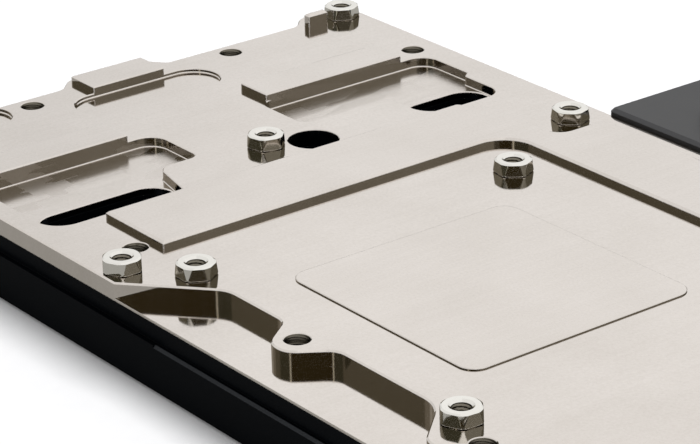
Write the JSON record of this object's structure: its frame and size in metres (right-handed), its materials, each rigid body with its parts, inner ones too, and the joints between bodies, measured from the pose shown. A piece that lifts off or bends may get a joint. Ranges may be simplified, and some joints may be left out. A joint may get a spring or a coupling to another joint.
{
  "type": "liquid cooling cold plate",
  "caption": "Full-cover liquid cooling cold plate: nickel plated copper plate with pockets, slots and standoffs on a black acetal cover with a side port terminal.",
  "frame": {"origin": "centre of the processor contact pad, on its contact face", "axes": "+Z leaves the component side, +X along the card from the regulator end to the bracket end, +Y towards the port terminal"},
  "size_m": [0.1749, 0.1141, 0.0155],
  "materials": {
    "nickel_plate": "bright nickel plated copper",
    "standoff_nickel": "bright nickel plated brass",
    "acetal_cover": "black acetal, milled satin",
    "acetal_terminal": "black acetal, milled satin",
    "acetal_plug": "black acetal, turned",
    "seal_rubber": "black rubber",
    "stainless": "brushed stainless sheet",
    "screw_steel": "stainless"
  },
  "bodies": {
    "root": {"cold_plate": "nickel_plate", "cover": "acetal_cover", "main_gasket": "seal_rubber", "jet_plate": "stainless", "terminal_block": "acetal_terminal", "inlet_seal": "seal_rubber", "outlet_seal": "seal_rubber", "inlet_plug": "acetal_plug", "outlet_plug": "acetal_plug", "inlet_plug_seal": "seal_rubber", "outlet_plug_seal": "seal_rubber", "cover_screw_1": "screw_steel", "cover_screw_2": "screw_steel", "cover_screw_3": "screw_steel", "cover_screw_4": "screw_steel", "cover_screw_5": "screw_steel", "cover_screw_6": "screw_steel", "cover_screw_7": "screw_steel", "cover_screw_8": "screw_steel", "cover_screw_9": "screw_steel", "cover_screw_10": "screw_steel", "cover_screw_11": "screw_steel", "terminal_screw_1": "screw_steel", "terminal_screw_2": "screw_steel", "terminal_screw_3": "screw_steel", "terminal_screw_4": "screw_steel", "standoff_gpu_rear_low": "standoff_nickel", "standoff_gpu_front_low": "standoff_nickel", "standoff_gpu_front_high": "standoff_nickel", "standoff_gpu_rear_high": "standoff_nickel", "standoff_slot_side": "standoff_nickel", "standoff_middle": "standoff_nickel", "standoff_rear_corner": "standoff_nickel", "standoff_port_side": "standoff_nickel", "standoff_port_side_front": "standoff_nickel", "standoff_front": "standoff_nickel"}
  },
  "joints": []
}
